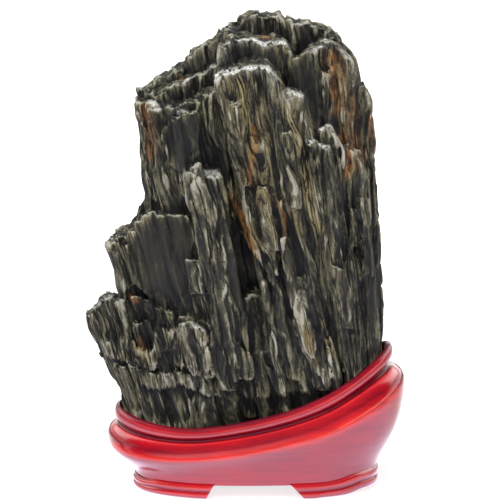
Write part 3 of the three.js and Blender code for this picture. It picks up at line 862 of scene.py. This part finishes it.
def splintered_height(surface, slab):
    """How far the split sheets, the ridges and the cracks stand out from the stone's face."""
    seeds = sway(surface.points)
    sheets = np.zeros(len(seeds))
    for width, length, thickness, seed in SPLIT_SHEETS:
        sheets += split_sheets(seeds, width, length, seed) * thickness
    crests = (ridges(seeds, 3.4, 24, 51) - 0.5) * 0.22 + (ridges(seeds, 1.8, 12, 61) - 0.5) * 0.12
    cracks = smooth_step(0.88, 1.0, ridges(seeds, 11, 150, 71)) * 1.5
    cracks += smooth_step(0.86, 1.0, ridges(seeds, 5, 80, 72)) * 0.8
    height = (sheets - SHEET_LEVEL) * (1 - 0.85 * slab)
    return height + crests * (1 - 0.7 * slab) - cracks * (1 - 0.9 * slab)


def store_marks(surface, mesh, slab, front):
    """Stores on the mesh what colours the stone."""
    normals = surface.normals()
    world = lean_back(surface.points)
    view = front_view(world)
    stains = noise(surface.points / (8, 8, 60), 91)
    rust_behind = smooth_step(0.50, 0.75, stains) * (1 - front) * 0.8
    fresh_behind = smooth_step(0.45, 0.7, -stains) * (1 - front) * 0.8
    marks = {
        # The material turns relief, hollow and ledge into painted shade and painted highlight.
        "relief": ((world - surface.smoothed(world, 6)) * normals).sum(axis=1),
        "hollow": ((world - surface.smoothed(world, 80)) * normals).sum(axis=1),
        "ledge": smooth_step(0.35, 0.85, surface.smoothed(normals[:, 2], 2)),
        "slab": slab,
        "rust": np.maximum(streak_mask(view, RUST_STREAKS) * front, rust_behind),
        "ochre": streak_mask(view, GOLD_STREAKS) * front,
        "fresh": np.maximum(streak_mask(view, PALE_STREAKS) * front, fresh_behind),
        "rim": streak_mask(view, RIM_STREAKS) * front,
        # The dark places are partly darker stone and partly painted shade in recesses, cavities, below the
        # crown and at the stone's foot.
        "dark": streak_mask(view, DARK_STREAKS) * front,
        "grain": sway(surface.points),
    }
    for name, values in marks.items():
        add_attribute(mesh, name, values)


def build_stone(settings):
    """Grows the stone's ledges, sheets, ridges and fibres on its solid, and stores what colours them."""
    block = stone_block()
    mesh, points = remesh_along_grain(block, settings.cell)
    surface = Surface(mesh, points)
    surface.points = surface.smoothed(surface.points, 2)

    world = lean_back(surface.points)
    view = front_view(world)
    front = smooth_step(7, -5, world[:, 1])
    slab = smooth_places(view) * front
    collar = np.interp(world[:, 0], *np.array(COLLAR_LINE, float).T)
    freedom = smooth_step(-3, 6, world[:, 2] - collar)

    wear_outline(surface, view, freedom)
    lay_sheets(surface, view, front, freedom)
    height = splintered_height(surface, slab) * settings.relief
    normals = surface.normals()
    height *= 1 - 0.8 * smooth_step(0.5, 0.9, np.abs(normals[:, 2]))
    height = height * freedom + np.minimum(height, 0) * 0.15 * (1 - freedom)
    surface.points = surface.points + normals * height[:, None]
    store_marks(surface, mesh, slab, front)

    thin = block.modifiers.new("Thin", "DECIMATE")
    thin.ratio = min(1.0, settings.triangles / (2 * len(mesh.polygons)))
    mesh = apply_modifiers(block)
    for polygon in mesh.polygons:
        polygon.use_smooth = True
    bpy.data.objects.remove(block)
    mesh.name = "stone_surface"
    return mesh


# Materials

def add_node(tree, kind, inputs=None, **settings):
    """Adds a shader node, sets its options, and sets or links its inputs."""
    node = tree.nodes.new(kind)
    for name, value in settings.items():
        setattr(node, name, value)
    for name, value in (inputs or {}).items():
        socket = node.inputs[name]
        if isinstance(value, bpy.types.NodeSocket):
            tree.links.new(value, socket)
        else:
            socket.default_value = value
    return node


def attribute(tree, name):
    """The number stored on the mesh under a name."""
    return add_node(tree, "ShaderNodeAttribute", attribute_name=name).outputs["Fac"]


def math_node(tree, operation, first, second=0.0):
    node = add_node(tree, "ShaderNodeMath", {0: first, 1: second}, operation=operation)
    return node.outputs[0]


def total(tree, first, *others):
    """The sum of several values."""
    for value in others:
        first = math_node(tree, "ADD", first, value)
    return first


def product(tree, first, *others):
    """The product of several values."""
    for value in others:
        first = math_node(tree, "MULTIPLY", first, value)
    return first


def ramp(tree, value, low, high, start=0.0, end=1.0):
    """The value carried from low..high to start..end, held at both ends."""
    sockets = {"Value": value, "From Min": low, "From Max": high, "To Min": start, "To Max": end}
    return add_node(tree, "ShaderNodeMapRange", sockets, interpolation_type="SMOOTHSTEP").outputs["Result"]


def mix_colors(tree, share, first, second):
    """The first colour, with a share of the second laid over it."""
    node = add_node(tree, "ShaderNodeMix", data_type="RGBA")
    for index, value in ((0, share), (6, first), (7, second)):
        if isinstance(value, bpy.types.NodeSocket):
            tree.links.new(value, node.inputs[index])
        else:
            node.inputs[index].default_value = value
    return node.outputs[2]


def solid_color(color):
    return (*color, 1.0)


def long_grain_group():
    """Noise drawn out along one direction: fibres in the stone, wood grain under the lacquer."""
    tree = bpy.data.node_groups.new("Long Grain", "ShaderNodeTree")
    interface = tree.interface
    interface.new_socket("Vector", in_out="INPUT", socket_type="NodeSocketVector")
    interface.new_socket("Fineness", in_out="INPUT", socket_type="NodeSocketVector")
    interface.new_socket("Detail", in_out="INPUT", socket_type="NodeSocketFloat")
    interface.new_socket("Distortion", in_out="INPUT", socket_type="NodeSocketFloat")
    interface.new_socket("Grain", in_out="OUTPUT", socket_type="NodeSocketFloat")
    entry = tree.nodes.new("NodeGroupInput")
    scaled = add_node(tree, "ShaderNodeVectorMath",
                      {0: entry.outputs["Vector"], 1: entry.outputs["Fineness"]}, operation="MULTIPLY")
    grain = add_node(tree, "ShaderNodeTexNoise",
                     {"Vector": scaled.outputs[0], "Scale": 1.0, "Roughness": 0.62,
                      "Detail": entry.outputs["Detail"], "Distortion": entry.outputs["Distortion"]})
    add_node(tree, "NodeGroupOutput", {"Grain": grain.outputs["Fac"]})
    return tree


def long_grain(tree, vector, fineness, detail=3.0, distortion=0.0):
    """Places the long grain in a material, with features about 1 / fineness wide on each axis."""
    group = bpy.data.node_groups.get("Long Grain") or long_grain_group()
    node = add_node(tree, "ShaderNodeGroup", node_tree=group)
    tree.links.new(vector, node.inputs["Vector"])
    node.inputs["Fineness"].default_value = fineness
    node.inputs["Detail"].default_value = detail
    node.inputs["Distortion"].default_value = distortion
    return node.outputs["Grain"]


def new_material(name):
    material = bpy.data.materials.new(name)
    material.use_nodes = True
    return material, material.node_tree, material.node_tree.nodes["Principled BSDF"]


# The stone's fine markings: how fine each is across and along the grain, its detail and distortion, then the
# range of its noise that shows and how far it darkens and lightens the stone.
STONE_MARKINGS = {
    "threads": ((1.6, 1.6, 0.17), 3.0, 0.4, (0.32, 0.68, -0.11, 0.11)),
    "hairs": ((2.6, 2.6, 0.7), 2.0, 0.4, (0.3, 0.7, -0.10, 0.10)),
    "chips": ((0.55, 0.55, 0.16), 3.0, 0.5, (0.36, 0.60, -0.10, 0.12)),
    "flakes": ((0.17, 0.17, 0.045), 2.0, 0.6, (0.45, 0.55, -0.24, 0.20)),
    "bands": ((0.30, 0.30, 0.016), 3.0, 0.0, (0.35, 0.65, -0.14, 0.16)),
    "grit": ((2.8, 2.8, 1.6), 2.0, 0.0, (0.36, 0.64, -0.13, 0.13)),
}
PATCH_FINENESS = (0.06, 0.06, 0.022)
FLECK_FINENESS = (0.9, 0.9, 0.7)
FIBRE_BLACK_AND_PAINTED_SHADE = (0.006, 0.006, 0.006, 1)


def schist_material(settings):
    """Fibrous black schist: dark faces, olive ridges, pale broken edges, rust and ochre stains, with painted
    shade in its crevices and hollows and painted highlight on its ridges, bulges and the ledges and rims that
    face up.
    """
    material, tree, shader = new_material("Fibrous Schist")
    grain = add_node(tree, "ShaderNodeAttribute", attribute_name="grain").outputs["Vector"]
    relief = attribute(tree, "relief")
    hollow = attribute(tree, "hollow")
    ledge = attribute(tree, "ledge")
    fresh = attribute(tree, "fresh")
    markings = {name: long_grain(tree, grain, *look) for name, (*look, _) in STONE_MARKINGS.items()}
    patches = long_grain(tree, grain, PATCH_FINENESS)
    flecks = long_grain(tree, grain, FLECK_FINENESS)

    streaks = total(tree, *[ramp(tree, markings[name], *look[-1]) for name, look in STONE_MARKINGS.items()])
    calm = ramp(tree, attribute(tree, "slab"), 0.0, 1.0, 1.0, 0.35)
    # Painted light in the tone: relief and hollow darken crevices and hollows as painted shade and lighten
    # ridges and bulges as painted highlight. The streaks and the fresh places are the stone's own tone, and
    # the dark places are partly painted shade.
    crest = total(tree, product(tree, streaks, calm), ramp(tree, relief, -0.6, 0.6, -0.30, 0.30),
                  ramp(tree, hollow, -3.0, 3.0, -0.28, 0.26), product(tree, fresh, 0.40),
                  product(tree, attribute(tree, "dark"), -0.22))

    # Painted shade: where the tone is lowest, in crevices, hollows and shaded places as well as dark fibres,
    # the stone turns near black.
    color = mix_colors(tree, ramp(tree, crest, -0.40, 0.02), FIBRE_BLACK_AND_PAINTED_SHADE, solid_color(settings.dark))
    olive_share = product(tree, ramp(tree, crest, 0.02, 0.46), ramp(tree, patches, 0.38, 0.62, 0.45, 1.0))
    color = mix_colors(tree, olive_share, color, solid_color(settings.olive))
    ochre = product(tree, attribute(tree, "ochre"), ramp(tree, crest, -0.15, 0.30))
    color = mix_colors(tree, ochre, color, solid_color(settings.gold))
    rust = product(tree, attribute(tree, "rust"), ramp(tree, streaks, -0.35, 0.20, 0.1, 1.0))
    stain = mix_colors(tree, ramp(tree, markings["chips"], 0.38, 0.64),
                       solid_color(settings.rust), solid_color(settings.ember))
    color = mix_colors(tree, rust, color, stain)
    flecked = product(tree, fresh, ramp(tree, flecks, 0.40, 0.52))
    # Painted highlight: bulges and fresh flecks on ledges that face up, and the ridges with the highest tone,
    # take the pale colour, as if lit from above.
    broken = math_node(tree, "MAXIMUM", ramp(tree, hollow, 0.6, 1.9, 0.0, 0.8), flecked)
    lit_ledge = product(tree, ledge, broken, ramp(tree, relief, -0.4, 0.1))
    edge = math_node(tree, "MAXIMUM", ramp(tree, crest, 0.46, 0.95, 0.0, 0.8), lit_ledge)
    color = mix_colors(tree, edge, color, solid_color(settings.pale))
    # Painted highlight: the rims turn near white where they face up, mottled by the flecks.
    rim = product(tree, attribute(tree, "rim"), ramp(tree, ledge, 0.05, 0.45, 0.15, 1.0),
                  ramp(tree, flecks, 0.40, 0.54))
    color = mix_colors(tree, rim, color, solid_color(settings.rims))
    tree.links.new(color, shader.inputs["Base Color"])

    tree.links.new(ramp(tree, markings["threads"], 0.3, 0.7, 0.48, 0.72), shader.inputs["Roughness"])
    shader.inputs["Specular IOR Level"].default_value = 0.3
    coarse = add_node(tree, "ShaderNodeBump",
                      {"Height": markings["threads"], "Strength": 0.9, "Distance": 0.0008})
    fine = add_node(tree, "ShaderNodeBump",
                    {"Height": markings["hairs"], "Strength": 0.7, "Distance": 0.0004,
                     "Normal": coarse.outputs["Normal"]})
    tree.links.new(fine.outputs["Normal"], shader.inputs["Normal"])
    return material


def lacquer_material(settings):
    """Red wood under a thick clear lacquer, with painted shade in its grooves and coves and painted highlight
    on its crests.
    """
    name = "Red Lacquered Wood"
    if name in bpy.data.materials:
        return bpy.data.materials[name]
    material, tree, shader = new_material(name)
    place = add_node(tree, "ShaderNodeTexCoord").outputs["Object"]
    painted_shade_and_highlight = attribute(tree, "painted_shade_and_highlight")
    figure = long_grain(tree, place, (22, 50, 380), 4.0, 0.4)
    pores = long_grain(tree, place, (120, 300, 2400), 2.0)
    clouds = long_grain(tree, place, (22, 30, 30), 2.0)

    # Painted shade from the section's values darkens the grooves, coves and socket, on top of the wood's own
    # figure, pores and clouds.
    stain = total(tree, ramp(tree, painted_shade_and_highlight, 0.0, 1.0, 0.0, 0.85), ramp(tree, figure, 0.42, 0.66, 0.0, 0.24),
                  ramp(tree, pores, 0.62, 0.75, 0.0, 0.25), ramp(tree, clouds, 0.35, 0.7, 0.0, 0.22))
    # Painted highlight: where the section's value is negative, the crests take the brighter red.
    color = mix_colors(tree, ramp(tree, painted_shade_and_highlight, 0.0, -1.0), solid_color(settings.wood),
                       solid_color(settings.crest_highlight))
    color = mix_colors(tree, stain, color, solid_color(settings.shade))
    tree.links.new(color, shader.inputs["Base Color"])
    tree.links.new(ramp(tree, painted_shade_and_highlight, 0.3, 1.0, 1.0, 0.1), shader.inputs["Coat Weight"])
    tree.links.new(ramp(tree, figure, 0.3, 0.7, 0.10, 0.18), shader.inputs["Roughness"])
    shader.inputs["Specular IOR Level"].default_value = 0.15
    shader.inputs["Coat Roughness"].default_value = 0.16
    shader.inputs["Coat IOR"].default_value = 1.5
    ripple = long_grain(tree, place, (60, 90, 90), 2.0)
    bump = add_node(tree, "ShaderNodeBump", {"Height": ripple, "Strength": 0.25, "Distance": 0.0012})
    tree.links.new(bump.outputs["Normal"], shader.inputs["Normal"])
    tree.links.new(bump.outputs["Normal"], shader.inputs["Coat Normal"])
    return material


# What the floor's paper gives off: to the camera, and to the lacquer's mirrored rays behind and before the
# stand.
PAPER_GREYS = ((0.54, 0.54, 0.54, 1), (0.56, 0.56, 0.56, 1))
PAPER_SEEN = (0.75, 0.75, 0.75, 1)
PAPER_MIRRORED_BEHIND = (0.95, 0.93, 1.0, 1)
PAPER_MIRRORED_BEFORE = (1.95, 1.85, 2.65, 1)
FLOOR_RADIUS = 14

# Brightness of the world: behind the piece for the camera, and all round for the rays that light it.
WHITE_BEHIND = 1.1
ROOM_LIGHT = 0.36

# The lamps: the direction each shines from, its power, and how wide it is, in degrees.
LAMPS = {
    "Overhead Softbox": ((-0.25, -0.40, 1), 3.3, 50),
    "Front Softbox": ((0.15, -1, 0.30), 0.9, 60),
}


def paper_material():
    """Plain white studio paper."""
    material, tree, shader = new_material("Studio Paper")
    place = add_node(tree, "ShaderNodeTexCoord").outputs["Object"]
    mottle = add_node(tree, "ShaderNodeTexNoise", {"Vector": place, "Scale": 3.0}).outputs["Fac"]
    color = mix_colors(tree, mottle, *PAPER_GREYS)
    tree.links.new(color, shader.inputs["Base Color"])
    rays = add_node(tree, "ShaderNodeLightPath").outputs
    reach = add_node(tree, "ShaderNodeVectorMath", {0: place}, operation="LENGTH").outputs["Value"]
    depth = add_node(tree, "ShaderNodeSeparateXYZ", {0: place}).outputs["Y"]
    before = ramp(tree, depth, -0.06, 0.05, 1.0, 0.0)
    mirrored_color = mix_colors(tree, before, PAPER_MIRRORED_BEHIND, PAPER_MIRRORED_BEFORE)
    glow = mix_colors(tree, rays["Is Glossy Ray"], PAPER_SEEN, mirrored_color)
    tree.links.new(glow, shader.inputs["Emission Color"])
    mirrored = product(tree, rays["Is Glossy Ray"], ramp(tree, reach, 0.20, 0.70, 1.0, 0.15))
    shown = math_node(tree, "MAXIMUM", rays["Is Camera Ray"], mirrored)
    tree.links.new(shown, shader.inputs["Emission Strength"])
    shader.inputs["Roughness"].default_value = 0.9
    shader.inputs["Specular IOR Level"].default_value = 0.1
    return material


# The studio

def add_camera(settings):
    target = Vector((PLAN_CENTRE.x * MM, 0, settings.target_height))
    back = Vector((0, -math.cos(settings.elevation), math.sin(settings.elevation)))
    data = bpy.data.cameras.new("Camera")
    data.sensor_width = SENSOR_WIDTH
    data.lens = settings.lens
    data.clip_end = 100
    camera = bpy.data.objects.new("Camera", data)
    camera.location = target + back * settings.distance
    camera.rotation_euler = (-back).to_track_quat("-Z", "Y").to_euler()
    bpy.context.scene.collection.objects.link(camera)
    bpy.context.scene.camera = camera


def add_floor():
    work = bmesh.new()
    bmesh.ops.create_circle(work, cap_ends=True, segments=64, radius=FLOOR_RADIUS)
    mesh = bpy.data.meshes.new("floor")
    work.to_mesh(mesh)
    work.free()
    mesh.materials.append(paper_material())
    floor = bpy.data.objects.new("floor", mesh)
    bpy.context.scene.collection.objects.link(floor)


def add_world():
    """White behind the piece for the camera, and a dim room for the lacquer to mirror, with a band of windows
    and softboxes high up at the left and right."""
    world = bpy.data.worlds.new("White Studio")
    world.use_nodes = True
    tree = world.node_tree
    place = add_node(tree, "ShaderNodeTexCoord").outputs["Generated"]
    axes = add_node(tree, "ShaderNodeSeparateXYZ", {0: place}).outputs
    rays = add_node(tree, "ShaderNodeLightPath").outputs
    windows = product(tree, ramp(tree, axes["Z"], 0.06, 0.16), ramp(tree, axes["Z"], 0.26, 0.42, 1.0, 0.02),
                      ramp(tree, axes["X"], -0.6, 0.7, 1.3, 2.6))
    sides = total(tree, ramp(tree, axes["X"], 0.05, 0.60, 0.6, 4.6),
                  ramp(tree, axes["X"], -0.75, -0.15, 4.0, 0.0))
    softboxes = product(tree, ramp(tree, axes["Z"], 0.30, 0.55), ramp(tree, axes["Y"], -0.35, 0.0), sides)
    mirrored = total(tree, windows, softboxes)
    room = add_node(tree, "ShaderNodeMix", {0: rays["Is Glossy Ray"], 2: ROOM_LIGHT, 3: mirrored},
                    data_type="FLOAT").outputs[0]
    strength = add_node(tree, "ShaderNodeMix", {0: rays["Is Camera Ray"], 2: room, 3: WHITE_BEHIND},
                        data_type="FLOAT").outputs[0]
    background = tree.nodes["Background"]
    background.inputs["Color"].default_value = (1, 1, 1, 1)
    tree.links.new(strength, background.inputs["Strength"])
    bpy.context.scene.world = world


def add_lights():
    """A broad soft light from above and a weaker one from the front, which the lacquer doesn't mirror."""
    for name, (direction, power, width) in LAMPS.items():
        light = bpy.data.lights.new(name, "SUN")
        light.energy = power
        light.angle = math.radians(width)
        lamp = bpy.data.objects.new(name, light)
        lamp.location = Vector(direction)
        lamp.rotation_euler = Vector(direction).to_track_quat("Z", "Y").to_euler()
        lamp.visible_glossy = False
        bpy.context.scene.collection.objects.link(lamp)


# Operators, panel and registration

class STONE_OT_stone(bpy.types.Operator):
    """Build the stone with its ledges, sheets and fibres"""

    bl_idname = "viewing_stone.stone"
    bl_label = "Build Stone"

    def execute(self, context):
        settings = context.scene.viewing_stone
        mesh = build_stone(settings)
        new_piece("stone_surface", mesh, "stone", [schist_material(settings)])
        return {"FINISHED"}


class STONE_OT_stand_body(bpy.types.Operator):
    """Build the stand's body with its two swept tiers and its socket"""

    bl_idname = "viewing_stone.stand_body"
    bl_label = "Build Stand Body"

    def execute(self, context):
        settings = context.scene.viewing_stand
        mesh = build_stand_body(settings)
        piece = new_piece("stand_body_moulded", mesh, "stand_body",
                          [lacquer_material(settings)])
        smooth_subdivision(piece, 2)
        return {"FINISHED"}


class STONE_OT_feet(bpy.types.Operator):
    """Build the stand's four moulded feet"""

    bl_idname = "viewing_stone.feet"
    bl_label = "Build Feet"

    def execute(self, context):
        settings = context.scene.viewing_stand
        for name in FEET:
            mesh = build_foot(name)
            piece = new_piece(name + "_moulded", mesh, name, [lacquer_material(settings)])
            smooth_subdivision(piece, 2)
        return {"FINISHED"}


class STONE_OT_studio(bpy.types.Operator):
    """Set up the camera, the white floor and the soft light"""

    bl_idname = "viewing_stone.studio"
    bl_label = "Set Up Studio"

    def execute(self, context):
        add_camera(context.scene.viewing_studio)
        add_floor()
        add_world()
        add_lights()
        context.scene.view_settings.view_transform = "Standard"
        return {"FINISHED"}


class STONE_PT_sidebar(bpy.types.Panel):
    """The viewing stone's operators and settings"""

    bl_label = "Viewing Stone"
    bl_idname = "STONE_PT_sidebar"
    bl_space_type = "VIEW_3D"
    bl_region_type = "UI"
    bl_category = "Viewing Stone"

    def draw(self, context):
        for place, group in SETTINGS.items():
            box = self.layout.box()
            for name in group.__annotations__:
                box.prop(getattr(context.scene, place), name)
        for operator in BUILD_ORDER:
            self.layout.operator(operator.bl_idname)


SETTINGS = {
    "viewing_stone": StoneSettings,
    "viewing_stand": StandSettings,
    "viewing_studio": StudioSettings,
}
BUILD_ORDER = (STONE_OT_studio, STONE_OT_stand_body, STONE_OT_feet, STONE_OT_stone)
CLASSES = (*SETTINGS.values(), *BUILD_ORDER, STONE_PT_sidebar)


def register():
    for item in CLASSES:
        bpy.utils.register_class(item)
    for name, group in SETTINGS.items():
        setattr(bpy.types.Scene, name, bpy.props.PointerProperty(type=group))


def unregister():
    for name in SETTINGS:
        delattr(bpy.types.Scene, name)
    for item in reversed(CLASSES):
        bpy.utils.unregister_class(item)


def main():
    register()
    bpy.ops.viewing_stone.studio()
    bpy.ops.viewing_stone.stand_body()
    bpy.ops.viewing_stone.feet()
    bpy.ops.viewing_stone.stone()


if __name__ == "__main__":
    main()
